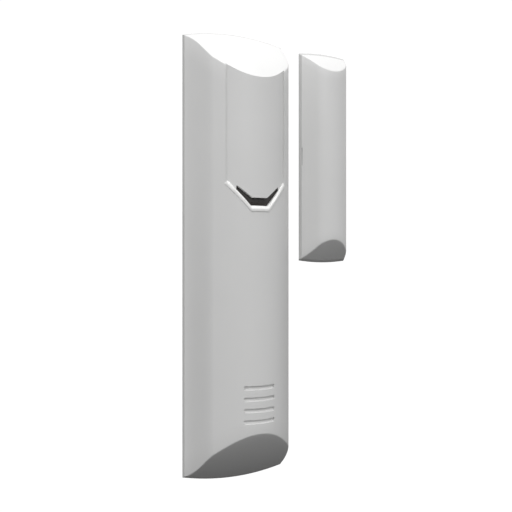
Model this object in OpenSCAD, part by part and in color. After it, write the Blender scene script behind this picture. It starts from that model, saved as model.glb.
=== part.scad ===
/* [Sensor case] */
// Length of the sensor, corner to corner along its back edge
sensor_len = 124; // [120:1:130]
// Width of the sensor to the left of its screw holes, where the long side spreads at its foot
sensor_left = 15.4; // [15.3:0.1:17]
// Width of the sensor to the right of its screw holes, where the long side is steep
sensor_right = 14.5; // [14.3:0.1:15.5]
// Depth of the sensor from the wall to the crest of its dome
sensor_d = 20.4; // [20.4:0.1:22]
// How far behind the wall the centre of the rounded end cut lies
sensor_cut = 38.6; // [34:0.2:44]
// Wall thickness of the sensor cover
sensor_wall = 1.5; // [1.2:0.1:1.5]

/* [Magnet case] */
// Length of the magnet unit, corner to corner along its back edge
magnet_len = 62.8; // [60:0.2:66]
// Width of the magnet unit to the left of its screw holes
magnet_left = 8.25; // [8.25:0.05:9]
// Width of the magnet unit to the right of its screw holes
magnet_right = 7.25; // [7.25:0.05:8]
// Depth of the magnet unit from the wall to its crest
magnet_d = 6.4; // [6.4:0.1:7.5]
// How far behind the wall the centre of each of its rounded end cuts lies
magnet_cut = 51.7; // [48:0.1:55]
// How far beyond the unit's middle that centre lies, away from the end that it cuts
magnet_back = 22; // [15:1:30]
// Wall thickness of the magnet cover
magnet_wall = 1.1; // [1:0.1:1.2]
// Gap between the sensor and the magnet unit on a closed door
door_gap = 6.1; // [3:0.1:10]
// Height of the magnet unit's middle above the sensor's middle
magnet_z = 30; // [26:0.5:31]

/* [Seams and walls] */
// Height of the edge wall along both cases
edge_h = 0.3; // [0.2:0.05:0.6]
// Thickness of the flange that the covers sit on
flange_t = 0.75; // [0.6:0.05:0.8]
// Thickness of the raised pad inside the covers
pad_t = 1.5; // [1.3:0.1:1.6]
// Gap along the seam between cover and base
seam = 0.08; // [0.05:0.01:0.15]
// Clearance between a cover and what stands inside it
inner_gap = 0.3; // [0.25:0.05:0.4]

/* [Front] */
// Half width of the sunk panel on the upper front
panel_half = 8.2; // [7.5:0.1:8.4]
// Depth of the sunk panel
panel_sink = 0.4; // [0.2:0.05:0.6]
// Half width of the chevron over its tips
chevron_half = 8.6; // [8.4:0.1:9]
// Half width of the chevron's flat foot
chevron_flat = 2.45; // [2:0.05:3]
// Height of the chevron's foot above the middle of the case
chevron_foot = 11.4; // [10:0.1:13]
// Height of the chevron's tips above the middle of the case
chevron_tip = 18.7; // [17:0.1:20]
// Number of grip grooves near the lower end
groove_count = 4; // [2:1:6]
// Length of one grip groove
groove_len = 8.4; // [6:0.2:10]

/* [Electronics] */
// Width of the circuit board
board_w = 20.8; // [18:0.2:20.8]
// Length of the circuit board
board_len = 54; // [50:1:54]
// Thickness of the circuit board
board_t = 1.6; // [1:0.2:1.6]
// Diameter of the lithium cell
cell_dia = 17; // [16.8:0.1:17]
// Length of the lithium cell with its terminal
cell_len = 34.5; // [34:0.1:34.5]

/* [Fixing holes] */
// Diameter of the sensor's wall screw holes
wall_hole = 4.2; // [3.5:0.1:4.5]
// Distance between the sensor's wall screw holes
wall_pitch = 111; // [108:1:112]
// Diameter of the magnet unit's screw holes
magnet_hole = 3.2; // [2.8:0.1:3.5]
// Distance between the magnet unit's screw holes
magnet_pitch = 49; // [46:1:50]

/* [Hidden] */
$fn = 64;
ball_fn = 180;
curve_steps = 14;
sweep_sides = 8;
over = 20;
white = "#e9e9e7";
steel = "#b9bcc0";
copper = "#c98b4e";

// Centre of the magnet unit across the wall
magnet_x = sensor_right + door_gap + magnet_left;

// Depths above the wall of the board and of what stands on it
board_back = 5;
board_front = board_back + board_t;
board_low = -2.8;
screw_spots = [[7.4, 3], [0, 48.6]];
screw_head_dia = 4;
screw_head_h = 1.3;
screw_hole = 2.4;
post_spots = [[-8, 20], [8, 17]];
post_dia = 4.6;
pilot_dia = 1.7;
boss_dia = 9;
boss_h = 2.2;

// Half width of the pads, just inside the long sides of the covers
sensor_pad_half = sensor_left - 3;
magnet_pad_half = magnet_left - 3.4;

// Upstands that steady the cover's long sides
upstand_t = 0.7;
upstand_h = 6.4;
upstand_len = 8;
upstand_x = 11.05;
upstand_spots = [-25, 12];

// The cell lies along the case, just above the pad
cell_gap = 0.2;
cell_depth = pad_t + cell_gap + cell_dia / 2;
cell_low = -41;
cell_cap_h = 1;
cell_cap_dia = 6.5;
cell_top = cell_low + cell_len;
can_top = cell_top - cell_cap_h;
sleeve_t = 0.1;
contact_t = 0.4;
contact_w = 8;
contact_foot = 3;
spring_len = 2.8;
plate_w = 11;
plate_h = 12;
spring_low = cell_low - spring_len;
saddle_spots = [-13, -34];
saddle_len = 3;
saddle_w = 16.6;
saddle_h = 6;
bay_wall = 1.5;
bay_gap = 0.12;
lead_dia = 1.2;
lead_x = 9.3;
lead_depth = 3;
lead_bend = 1.2;
lead_top = board_low + 1.1;
core_dia = 0.8;

// Switches
tamper_spot = [-4.6, 42];
button_spot = [-5.4, 4];
switch_w = 6;
switch_h = 3.4;
switch_step = 0.4;
plunger_dia = 3;
plunger_top = board_front + 5.6;
plunger_foot = board_front + 2;
stem_gap = 0.05;
button_travel = 0.25;
well_spare = 0.35;
cap_dia = 3.4;
cap_top = board_front + 4.7;
cap_foot = board_front + 2.6;

// Reed switch beside the right-hand edge, level with the magnet
reed_x = 8.4;
reed_z = 29;
reed_dia = 2.4;
reed_len = 14;
reed_depth = board_front + 1.7;
reed_wall = 0.3;
reed_wire = 0.5;
reed_reach = 2;
blade_w = 0.8;
blade_t = 0.2;
blade_len = 4.9;
blade_overlap = 1.8;

// Wire aerial, an arch standing on one foot at the board's right-hand edge
aerial_wire = 0.8;
aerial_r = 4.6;
aerial_mid = [3.8, 43];
aerial_lift = board_front + 3.6;

// Chips
mcu_spot = [-4, 23.5];
mcu_size = [7, 7, 1];
can_spot = [-2.4, 34];
can_size = [12, 9, 2.4];
can_wall = 0.2;
crystal_spot = [3.4, 24.5];
led_spot = [1.9, chevron_foot + 0.85];
chip_size = [0.8, 1.6];
capacitor_h = 0.8;
resistor_h = 0.45;

// Grip grooves
groove_top = -33.3;
groove_pitch = 2.9;
groove_w = 1.1;
groove_sink = 0.5;

// Chevron and window outlines, right-hand half, as [across, up]
window_low_tip = [5.9, 17.2];
window_low_foot = [2.3, 13];
window_top_tip = [5.8, 18.2];
window_top_foot = [2, 15];
lip_inner_tip = [7.75, 19.35];
guide_back = 14.6;
guide_proud = 0.15;
stem_size = [6.8, 1.3];
window_sink = 1.3;
window_back = 15.4;

// Magnet unit
bar_w = 6;
bar_t = 2.2;
bar_len = 32;
bar_back = pad_t + 0.05;
bar_front = bar_back + bar_t;
cushion_t = 0.8;
rib_t = 0.7;
rib_gap = 0.1;
end_rib_h = 3.2;
side_rib_h = 2.4;
side_rib_spots = [-10, 10];
notch_len = 5.4;
notch_h = 1.8;
notch_sink = 0.9;

// Point at t on the cubic curve with the four control points p
function on_curve(p, t) = pow(1 - t, 3) * p[0] + 3 * pow(1 - t, 2) * t * p[1]
    + 3 * (1 - t) * t * t * p[2] + t * t * t * p[3];
function along_curve(p, t) = 3 * pow(1 - t, 2) * (p[1] - p[0])
    + 6 * (1 - t) * t * (p[2] - p[1]) + 3 * t * t * (p[3] - p[2]);
// The same point moved inwards, square to the curve
function inside_curve(p, t, inset) = let (v = along_curve(p, t))
    on_curve(p, t) + inset * [v.y, -v.x] / norm(v);

// Both sections are four cubic curves as [across, out of the wall], from the left-hand edge
// to the right: a foot that spreads towards the wall, up to a crease, a round dome in two
// halves, and a steep flank. Handles either side of a joint line up.
foot_pull = 0.65;
flank_pull = 0.8;
function sensor_section() = let (w = sensor_left, d = sensor_d, crest = [0, d],
    left = [-0.688 * w, 0.696 * d], left_pull = [-0.494 * w, 0.882 * d],
    right = [-left.x, left.y], right_pull = [-left_pull.x, left_pull.y])
    [[[-w, edge_h], [-0.838 * w, 0.162 * d], left + foot_pull * (left - left_pull), left],
     [left, left_pull, [-0.275 * w, d], crest],
     [crest, [0.275 * w, d], right_pull, right],
     [right, right + foot_pull * (right - right_pull), [sensor_right - 0.7, 0.135 * d],
      [sensor_right, edge_h]]];
function magnet_section() = let (w = magnet_left, d = magnet_d, crest = [0.036 * w, d],
    left = [-0.51 * w, 0.7 * d], left_pull = [-0.364 * w, 0.896 * d],
    right = [0.606 * w, 0.718 * d], right_pull = [0.436 * w, 0.897 * d])
    [[[-w, edge_h], [-0.8 * w, 0.25 * d], left + foot_pull * (left - left_pull), left],
     [left, left_pull, [-0.158 * w, d], crest],
     [crest, [0.23 * w, d], right_pull, right],
     [right, right + flank_pull * (right - right_pull), [magnet_right - 0.15, 0.45 * d],
      [magnet_right, edge_h]]];

// Closed outline seen from above; a smaller one runs on behind the wall, to cut with
function hump(section, inset) =
    let (front = [for (c = [0:len(section) - 1]) for (i = [min(c, 1):curve_steps])
             inside_curve(section[c], i / curve_steps, inset)],
         n = len(front), back = 2 * inset)
    concat([for (p = front) [p.x, -p.y]], [[front[n - 1].x, back], [front[0].x, back]]);

function backwards(points) = [for (i = [len(points) - 1:-1:0]) points[i]];
// Down the left-hand side of the middle line, then up the right-hand side
function both_sides(points) = concat([for (p = points) [-p.x, p.y]], backwards(points));

// Closed tube along the points, for wire that is wound round the Z axis
function ring(c, dir, r) = let (side = dir / norm(dir), up = cross(side, [0, 0, 1]),
    out = up / norm(up), top = cross(out, side))
    [for (k = [0:sweep_sides - 1]) let (a = 360 * k / sweep_sides)
        c + r * (cos(a) * out + sin(a) * top)];

module coil(turns, r_low, r_high, height, wire) {
    n = ceil(turns * 16);
    path = [for (i = [0:n]) let (f = i / n, r = r_low + (r_high - r_low) * f)
        [r * cos(360 * turns * f), r * sin(360 * turns * f), height * f]];
    rings = [for (i = [0:n]) ring(path[i], path[min(i + 1, n)] - path[max(i - 1, 0)], wire / 2)];
    points = [for (r = rings) each r];
    side = [for (i = [0:n - 1]) for (k = [0:sweep_sides - 1])
        let (a = i * sweep_sides + k, b = i * sweep_sides + (k + 1) % sweep_sides)
        [a, b, b + sweep_sides, a + sweep_sides]];
    low = [[for (k = [sweep_sides - 1:-1:0]) k]];
    high = [[for (k = [0:sweep_sides - 1]) n * sweep_sides + k]];
    polyhedron(points, concat(side, low, high), convexity = 10);
}

// Turns a drawing so that its Z points out of the wall and its Y points up
module face_on() {
    rotate([90, 0, 0]) children();
}

// Slab between two depths whose outline is drawn looking at the wall
module slab(low, high) {
    face_on() translate([0, 0, low]) linear_extrude(high - low) children();
}

module end_cut(radius, cut, back) {
    translate([0, cut, back]) sphere(r = radius, $fn = ball_fn);
}

// One ball rounds both ends, or a larger one each where their centres lie apart
module both_ends(radius, cut, back) {
    if (back > 0) intersection() {
        end_cut(radius, cut, back);
        end_cut(radius, cut, -back);
    }
    else end_cut(radius, cut, 0);
}

module case_solid(section, left, len, cut, back, inset, end_inset) intersection() {
    translate([0, 0, -len]) linear_extrude(2 * len) polygon(hump(section, inset));
    both_ends(norm([len / 2 + back, left, cut]) - end_inset, cut, back);
}

module sensor_solid(inset = 0, end_inset = 0) {
    case_solid(sensor_section(), sensor_left, sensor_len, sensor_cut, 0, inset, end_inset);
}

module magnet_solid(inset = 0, end_inset = 0) {
    case_solid(magnet_section(), magnet_left, magnet_len, magnet_cut, magnet_back, inset,
        end_inset);
}

// Chip, switch or block standing on the board
module on_board(spot, size, lift = 0) {
    face_on() translate([spot.x - size.x / 2, spot.y - size.y / 2, board_front + lift])
        cube(size);
}

module stud(spot, low, high, dia) {
    face_on() translate([spot.x, spot.y, low]) cylinder(d = dia, h = high - low);
}

// Down and up the outer edge of the chevron, then back along its inner edge
module chevron_lip() {
    outer = [lip_inner_tip, [chevron_half, chevron_tip], [chevron_flat, chevron_foot]];
    inner = [window_low_tip, window_low_foot];
    polygon(concat(both_sides(outer), backwards(both_sides(inner))));
}

// Chevron and window together, the opening in the cover
module chevron_opening() {
    outer = [lip_inner_tip, [chevron_half, chevron_tip], [chevron_flat, chevron_foot]];
    inner = [window_low_tip, window_top_tip, window_top_foot];
    polygon(concat(both_sides(outer), backwards(both_sides(inner))));
}

module window_outline() {
    polygon(both_sides([window_top_foot, window_top_tip, window_low_tip, window_low_foot]));
}

module panel_outline() {
    top = sensor_len;
    polygon(both_sides([[panel_half, top], [panel_half, lip_inner_tip.y], window_low_tip,
        window_low_foot]));
}

// Everything below the given depth, to cut a case off at its parting line
module below(depth) {
    slab(-1, depth) square(3 * sensor_len, center = true);
}

// Upright wall of the cell bay, square across the case
module bay_end(low, width, height) {
    slab(0, height) translate([-width / 2, low]) square([width, bay_wall]);
}

module sensor_base() color(white) difference() {
    union() {
        intersection() {
            sensor_solid();
            below(flange_t);
        }
        intersection() {
            sensor_solid(sensor_wall + inner_gap, sensor_wall + inner_gap);
            slab(0, pad_t) square([2 * sensor_pad_half, 2 * sensor_len], center = true);
        }
        for (s = concat(screw_spots, post_spots)) stud(s, 0, board_back, post_dia);
        for (s = [-1, 1]) stud([0, s * wall_pitch / 2], 0, boss_h, boss_dia);
        cell_saddles();
        bay_end(spring_low - contact_t - bay_gap - bay_wall, plate_w + 2, plate_h);
        bay_end(cell_top + contact_t + bay_gap, plate_w, board_front - contact_t);
        for (s = [-1, 1]) for (z = upstand_spots) slab(0, upstand_h)
            translate([s * upstand_x - upstand_t / 2, z]) square([upstand_t, upstand_len]);
    }
    for (s = [-1, 1]) stud([0, s * wall_pitch / 2], -1, boss_h + 1, wall_hole);
    for (s = screw_spots) stud(s, pad_t, board_back + 1, pilot_dia);
}

module cell_saddles() difference() {
    for (z = saddle_spots) slab(0, saddle_h)
        translate([-saddle_w / 2, z - saddle_len / 2]) square([saddle_w, saddle_len]);
    cell_bar(cell_low - over, cell_top + over, cell_dia + 2 * cell_gap);
}

module sensor_cover() color(white) difference() {
    union() {
        difference() {
            sensor_solid();
            sensor_solid(sensor_wall, sensor_wall + 0.1);
        }
        tamper_post();
    }
    below(flange_t + seam);
    // Sunk panel over the upper front
    difference() {
        slab(guide_back, sensor_d + 1) panel_outline();
        sensor_solid(panel_sink);
    }
    slab(guide_back - 3, sensor_d + 1) chevron_opening();
    grip_grooves();
}

// Post inside the cover that holds the tamper plunger down
module tamper_post() intersection() {
    stud(tamper_spot, plunger_top + stem_gap, sensor_d, plunger_dia + 0.6);
    sensor_solid(sensor_wall / 2, sensor_wall / 2);
}

module grip_grooves() {
    for (i = [0:groove_count - 1]) difference() {
        slab(guide_back, sensor_d + 1)
            translate([-groove_len / 2, groove_top - groove_w - i * groove_pitch])
                square([groove_len, groove_w]);
        sensor_solid(groove_sink);
    }
}

module light_guide() color("#f6f6f2") {
    intersection() {
        slab(guide_back, sensor_d + 1) chevron_lip();
        sensor_solid(-guide_proud, -1);
    }
    // Stem that carries the light up from the board
    slab(board_front + 1.6, guide_back) translate([-stem_size.x / 2, chevron_foot + 0.2])
        square(stem_size);
}

module indicator_window() color("#2a2626") intersection() {
    slab(window_back, sensor_d) window_outline();
    sensor_solid(window_sink);
}

module circuit_board() color("#2f6b3c") difference() {
    slab(board_back, board_front) translate([-board_w / 2, board_low])
        square([board_w, board_len]);
    for (s = screw_spots) stud(s, 0, over, screw_hole);
    stud([lead_x, lead_top], 0, over, core_dia + 0.2);
}

module board_screws() color(steel) for (s = screw_spots) {
    difference() {
        stud(s, board_front, board_front + screw_head_h, screw_head_dia);
        slab(board_front + screw_head_h / 2, over) translate([s.x, s.y]) {
            square([2.4, 0.5], center = true);
            square([0.5, 2.4], center = true);
        }
    }
    stud(s, board_back - 2.4, board_front, pilot_dia - 0.04);
}

// Each lamp is a flat foot with a narrower lens on it
module status_leds() color("#dfe9f2") for (s = [-1, 1]) {
    spot = [s * led_spot.x, led_spot.y];
    on_board(spot, [1.6, 0.8, 0.5]);
    on_board(spot, [1.2, 0.8, 0.9]);
}

module reed_bar(low, high, dia) {
    translate([reed_x, -reed_depth, low]) cylinder(d = dia, h = high - low);
}

module reed_glass() color("#cfe0dc", 0.5) difference() {
    half = (reed_len - reed_dia) / 2;
    union() {
        reed_bar(reed_z - half, reed_z + half, reed_dia);
        for (s = [-1, 1]) translate([reed_x, -reed_depth, reed_z + s * half])
            sphere(d = reed_dia);
    }
    reed_bar(reed_z - half, reed_z + half, reed_dia - 2 * reed_wall);
    reed_bar(reed_z - reed_len, reed_z + reed_len, reed_wire + 0.06);
}

module reed_blades() color(steel) for (s = [-1, 1]) {
    // Lead through the end of the glass, with its foot bent down to the board
    end = reed_z + s * (reed_len / 2 + reed_reach);
    root = reed_z + s * blade_len * 0.75;
    reed_bar(min(end, root), max(end, root), reed_wire);
    translate([reed_x, -reed_depth, end]) sphere(d = reed_wire);
    stud([reed_x, end], board_front, reed_depth, reed_wire);
    // Flat contact blade, whose tip lies over its partner's
    depth = reed_depth + s * (blade_t + 0.02) - blade_t / 2;
    low = s > 0 ? reed_z - blade_overlap / 2 : reed_z - blade_len + blade_overlap / 2;
    slab(depth, depth + blade_t) translate([reed_x - blade_w / 2, low])
        square([blade_w, blade_len]);
}

// A moulded dimple marks the chip's first pin
module microcontroller() color("#1d1f22") difference() {
    on_board(mcu_spot, mcu_size);
    stud(mcu_spot + [-2.5, 2.5], board_front + mcu_size.z - 0.1, over, 0.8);
}

module radio_can() color(steel) difference() {
    on_board(can_spot, can_size);
    on_board(can_spot, can_size - [2 * can_wall, 2 * can_wall, can_wall], -0.001);
}

module crystal() color(steel) {
    on_board(crystal_spot, [5, 3.2, 0.8]);
    on_board(crystal_spot, [4.4, 2.6, 1.1]);
}

// Row of small chips standing across the board, or a column of them lying along it
module chip_row(spot, count, step, height) {
    for (i = [0:count - 1])
        on_board(spot + [i * step, 0], [chip_size.x, chip_size.y, height]);
}

module chip_column(spot, count, step, height) {
    for (i = [0:count - 1])
        on_board(spot + [0, i * step], [chip_size.y, chip_size.x, height]);
}

module chip_capacitors() color("#b49a73") {
    chip_row([-8.2, 14], 4, 1.6, capacitor_h);
    chip_row([2.2, 20], 3, 1.6, capacitor_h);
    chip_column([5.2, 31], 4, 2.2, capacitor_h);
}

module chip_resistors() color("#26282b") {
    chip_row([2.2, 15.6], 4, 1.5, resistor_h);
    chip_column([0.4, 3], 4, 1.8, resistor_h);
}

module antenna_wire() color(copper) {
    face_on() translate([aerial_mid.x, aerial_mid.y, aerial_lift])
        rotate_extrude(angle = 180) translate([aerial_r, 0]) circle(d = aerial_wire);
    for (s = [-1, 1]) face_on()
        translate([aerial_mid.x + s * aerial_r, aerial_mid.y, aerial_lift])
            sphere(d = aerial_wire);
    stud(aerial_mid + [aerial_r, 0], board_front, aerial_lift, aerial_wire);
}

module cell_bar(low, high, dia) {
    translate([0, -cell_depth, low]) cylinder(d = dia, h = high - low);
}

module battery_can() color(steel) cell_bar(cell_low, can_top, cell_dia - 2 * sleeve_t);

module battery_sleeve() color("#3c5f96") difference() {
    cell_bar(cell_low + 0.4, can_top - 0.4, cell_dia);
    cell_bar(cell_low - 1, can_top + 1, cell_dia - 2 * sleeve_t);
}

module battery_cap() color("#d3d5d8") {
    cell_bar(can_top, cell_top, cell_cap_dia);
    cell_bar(can_top, can_top + 0.25, cell_cap_dia + 3);
}

// Bent strip: a wide plate on the cell's cap and a foot soldered to the board
module positive_contact() color(copper) face_on() {
    plate = cell_top + 0.02;
    translate([-contact_w / 2, plate, board_front]) cube([contact_w, contact_t, 7.5]);
    translate([-contact_foot / 2, plate, board_front]) cube([contact_foot, 5.6, contact_t]);
}

module negative_contact() color(steel) {
    translate([0, -cell_depth, spring_low])
        coil(2.5, 4.6, 2.2, spring_len - 0.4, 0.7);
    face_on() translate([-plate_w / 2, spring_low - contact_t, pad_t + 0.1])
        cube([plate_w, contact_t, plate_h]);
}

module battery_lead() color("#20242a") {
    low = spring_low + lead_dia / 2;
    end = plate_w / 2 - 1;
    translate([lead_x, -lead_depth, low]) {
        sphere(d = lead_dia);
        cylinder(d = lead_dia, h = lead_top - lead_bend - low);
        rotate([0, -90, 0]) cylinder(d = lead_dia, h = lead_x - end);
    }
    translate([lead_x, -lead_depth - lead_bend, lead_top - lead_bend])
        rotate(120, [1, 1, 1]) rotate_extrude(angle = 90)
            translate([lead_bend, 0]) circle(d = lead_dia);
    stud([lead_x, lead_top], lead_depth + lead_bend, board_back, lead_dia);
    stud([lead_x, lead_top], board_back - 0.2, board_front + 0.5, core_dia);
}

// Square switch body with a round well for its stem
module switch_body(spot, well_floor, well_dia) difference() {
    union() {
        on_board(spot, [switch_w, switch_w, switch_h - switch_step]);
        on_board(spot, [switch_w - 0.6, switch_w - 0.6, switch_h]);
    }
    stud(spot, well_floor, over, well_dia + 2 * stem_gap);
}

module tamper_body() color("#2b2d30")
    switch_body(tamper_spot, board_front + 0.8, plunger_dia);

module tamper_plunger() color("#e4e0d2")
    stud(tamper_spot, plunger_foot, plunger_top, plunger_dia);

module tamper_spring() color(steel)
    face_on() translate([tamper_spot.x, tamper_spot.y, board_front + 0.95])
        coil(3, 1, 1, 0.8, 0.22);

module button_body() color("#2b2d30")
    switch_body(button_spot, cap_foot - button_travel - well_spare, cap_dia);

module button_cap() color("#c9563a") stud(button_spot, cap_foot, cap_top, cap_dia);

module at_magnet() {
    translate([magnet_x, 0, magnet_z]) children();
}

module magnet_base() color(white) at_magnet() difference() {
    union() {
        intersection() {
            magnet_solid();
            below(flange_t);
        }
        intersection() {
            magnet_solid(magnet_wall + inner_gap, magnet_wall + inner_gap);
            slab(0, pad_t) square([2 * magnet_pad_half, 2 * magnet_len], center = true);
        }
        // Ribs that hold the bar at its ends and sides
        for (s = [-1, 1]) {
            slab(0, end_rib_h) translate([0, s * (bar_len / 2 + rib_gap + rib_t)])
                square([bar_w - 1, 2 * rib_t], center = true);
            for (z = side_rib_spots) slab(0, side_rib_h)
                translate([s * (bar_w / 2 + rib_gap + rib_t / 2), z])
                    square([rib_t, 4], center = true);
        }
    }
    for (s = [-1, 1]) stud([0, s * magnet_pitch / 2], -1, over, magnet_hole);
}

module magnet_cover() color(white) at_magnet() difference() {
    magnet_solid();
    magnet_solid(magnet_wall, magnet_wall + 0.1);
    below(flange_t + seam);
    // Notch for prising the cover off, on the long side next to the sensor
    slab(0, edge_h + notch_h) translate([-magnet_left - 1, -notch_len / 2])
        square([notch_sink + 1, notch_len]);
}

module magnet_bar() color("#8d9094") at_magnet()
    slab(bar_back, bar_front) square([bar_w, bar_len], center = true);

module magnet_cushion() color("#3a3a3c") at_magnet()
    slab(bar_front, bar_front + cushion_t) square([bar_w - 2.6, bar_len - 8], center = true);

sensor_base();
sensor_cover();
light_guide();
indicator_window();
circuit_board();
board_screws();
status_leds();
reed_glass();
reed_blades();
microcontroller();
radio_can();
crystal();
chip_capacitors();
chip_resistors();
antenna_wire();
battery_can();
battery_sleeve();
battery_cap();
positive_contact();
negative_contact();
battery_lead();
tamper_body();
tamper_plunger();
tamper_spring();
button_body();
button_cap();
magnet_base();
magnet_cover();
magnet_bar();
magnet_cushion();
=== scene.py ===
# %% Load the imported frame
import math

import bpy
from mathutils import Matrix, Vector


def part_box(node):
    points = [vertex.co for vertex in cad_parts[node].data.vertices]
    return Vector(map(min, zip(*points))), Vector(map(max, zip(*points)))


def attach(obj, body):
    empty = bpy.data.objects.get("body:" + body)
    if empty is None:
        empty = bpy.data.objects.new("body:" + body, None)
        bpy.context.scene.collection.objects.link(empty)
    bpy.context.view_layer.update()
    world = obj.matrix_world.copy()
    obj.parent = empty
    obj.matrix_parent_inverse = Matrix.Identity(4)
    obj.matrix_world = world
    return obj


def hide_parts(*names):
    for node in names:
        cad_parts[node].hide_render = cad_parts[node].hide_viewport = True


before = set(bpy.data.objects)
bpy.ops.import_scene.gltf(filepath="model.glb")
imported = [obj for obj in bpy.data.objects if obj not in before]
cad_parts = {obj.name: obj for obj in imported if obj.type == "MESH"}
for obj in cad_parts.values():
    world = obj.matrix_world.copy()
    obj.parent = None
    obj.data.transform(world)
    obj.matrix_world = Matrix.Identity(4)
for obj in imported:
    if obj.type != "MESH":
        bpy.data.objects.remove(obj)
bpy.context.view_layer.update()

# %% [markdown]
# A door contact is two small white plastic cases: a tall one with the electronics, and a short
# one with a magnet. Everything here is in metres, so the first cell names a millimetre. What a
# box can't tell is written down: where the ball that rounds the ends has its middle, how thick
# the walls are, and the shape of each section, whose points are given in parts of the left-hand
# width and of the depth.

# %% Driving sizes
MM = 0.001


def box_of(node):
    return tuple(Vector(corner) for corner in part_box(node))


edge_height = 0.3 * MM
cover_low, cover_high = box_of("sensor_cover")
base_low, base_high = box_of("sensor_base")
bar_low, bar_high = box_of("magnet_bar")
lid_low, lid_high = box_of("magnet_cover")
foot_low, foot_high = box_of("magnet_base")
magnet_place = Vector(((bar_low.x + bar_high.x) / 2, 0, (bar_low.z + bar_high.z) / 2))
sensor_case = {
    "left": -base_low.x, "right": base_high.x, "crest": -cover_low.y, "seam": -cover_high.y,
    "reach": 62 * MM, "ball": 38.6 * MM, "beyond": 0, "wall": 1.5 * MM, "top": 0,
    "dome_pull": (0.275, 0.275),
    "crease": ((-0.688, 0.696), (0.688, 0.696)),
    "crease_pull": ((-0.494, 0.882), (0.494, 0.882)),
    "flank_pull": (0.65, 0.65),
    "heel": (Vector((-0.838 * -base_low.x, 0.162 * -cover_low.y)),
             Vector((base_high.x - 0.7 * MM, 0.135 * -cover_low.y))),
}
magnet_case = {
    "left": magnet_place.x - foot_low.x, "right": foot_high.x - magnet_place.x,
    "crest": -lid_low.y, "seam": -lid_high.y,
    "reach": 31.4 * MM, "ball": 51.7 * MM, "beyond": 22 * MM, "wall": 1.1 * MM, "top": 0.036,
    "dome_pull": (0.194, 0.194),
    "crease": ((-0.51, 0.7), (0.606, 0.718)),
    "crease_pull": ((-0.364, 0.896), (0.436, 0.897)),
    "flank_pull": (0.65, 0.8),
    "heel": (Vector((-0.8 * (magnet_place.x - foot_low.x), 0.25 * -lid_low.y)),
             Vector((foot_high.x - magnet_place.x - 0.15 * MM, 0.45 * -lid_low.y))),
}
print("sensor", sensor_case)
print("magnet", magnet_case)

# %% [markdown]
# The camera comes first, so that every later step can be looked at from the right place. It
# stands to the left of the sensor and level with its middle, looking horizontally, so upright
# edges stay upright. A camera looks along its own -Z, so a quarter turn about X makes it level
# and a small turn about Z swings it towards the case.

# %% Camera
camera_turn = math.radians(-21.5)
camera = bpy.data.objects.new("camera", bpy.data.cameras.new("camera"))
bpy.context.scene.collection.objects.link(camera)
camera.location = Vector((-55.2, -157.3, 0)) * MM
camera.rotation_euler = (math.radians(90), 0, camera_turn)
camera.data.lens = 40.43
camera.data.sensor_width = 36
camera.data.clip_start = 0.01
bpy.context.scene.camera = camera

# %% [markdown]
# A handful of short helpers save typing. An operator acts on all that is selected, so `only`
# clears the selection before it picks a piece, and `edit` opens that piece in edit mode with
# every point selected. `pick` chooses points by where they are, the way a person would drag a
# box round them, `finish` joins a piece to the body that it moves with, and `painted` does
# the same once the piece has its material.


# %% Selection helpers
def only(*pieces):
    if bpy.context.object and bpy.context.object.mode == "EDIT":
        bpy.ops.object.mode_set(mode="OBJECT")
    bpy.ops.object.select_all(action="DESELECT")
    for piece in pieces:
        piece.select_set(True)
    bpy.context.view_layer.objects.active = pieces[0]


def edit(piece):
    only(piece)
    bpy.ops.object.mode_set(mode="EDIT")
    bpy.ops.mesh.select_mode(type="VERT")
    bpy.ops.mesh.select_all(action="SELECT")


def leave():
    bpy.ops.object.mode_set(mode="OBJECT")


def pick(piece, wanted):
    """Selects the points of the piece being edited that pass the test."""
    bpy.ops.mesh.select_all(action="DESELECT")
    leave()
    for point in piece.data.vertices:
        point.select = wanted(point.co)
    bpy.ops.object.mode_set(mode="EDIT")
    bpy.ops.mesh.select_mode(type="VERT")


def settle(piece):
    """Puts the piece's place, turn and size into its mesh."""
    only(piece)
    bpy.ops.object.transform_apply(location=True, rotation=True, scale=True)


def apply_modifier(piece, kind, **settings):
    only(piece)
    modifier = piece.modifiers.new(kind.lower(), kind)
    for setting, value in settings.items():
        setattr(modifier, setting, value)
    bpy.ops.object.modifier_apply(modifier=modifier.name)


def cut(piece, tool, operation="DIFFERENCE", keep=False):
    """Boolean with another piece, which is thrown away afterwards unless it is kept."""
    apply_modifier(piece, "BOOLEAN", object=tool, operation=operation, solver="EXACT")
    if not keep:
        bpy.data.objects.remove(tool)


def round_edges(piece, width, segments=2, angle=35):
    apply_modifier(piece, "BEVEL", width=width, segments=segments, limit_method="ANGLE",
                   angle_limit=math.radians(angle), use_clamp_overlap=True)


def drawn(name, points, edges=(), faces=()):
    """New piece from points, joined by edges or faces."""
    mesh = bpy.data.meshes.new(name)
    mesh.from_pydata(points, edges, faces)
    piece = bpy.data.objects.new(name, mesh)
    bpy.context.scene.collection.objects.link(piece)
    return piece


def seal(merge=None):
    """Merges points that coincide, turns every face outwards and leaves edit mode."""
    bpy.ops.mesh.select_all(action="SELECT")
    if merge:
        bpy.ops.mesh.remove_doubles(threshold=merge)
    bpy.ops.mesh.normals_make_consistent(inside=False)
    leave()


def smooth(piece, angle=35):
    only(piece)
    bpy.ops.object.shade_smooth_by_angle(angle=math.radians(angle))


def join(name, *pieces):
    only(*pieces)
    if len(pieces) > 1:
        bpy.ops.object.join()
    pieces[0].name = name
    return pieces[0]


def finish(piece, body, slot, *replaced):
    smooth(piece)
    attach(piece, body)
    if replaced:
        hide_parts(*replaced)
    print(piece.name, len(piece.data.polygons), "faces")
    return piece


def painted(piece, material, body, slot, *replaced):
    piece.data.materials.clear()
    piece.data.materials.append(material)
    return finish(piece, body, slot, *replaced)


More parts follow.
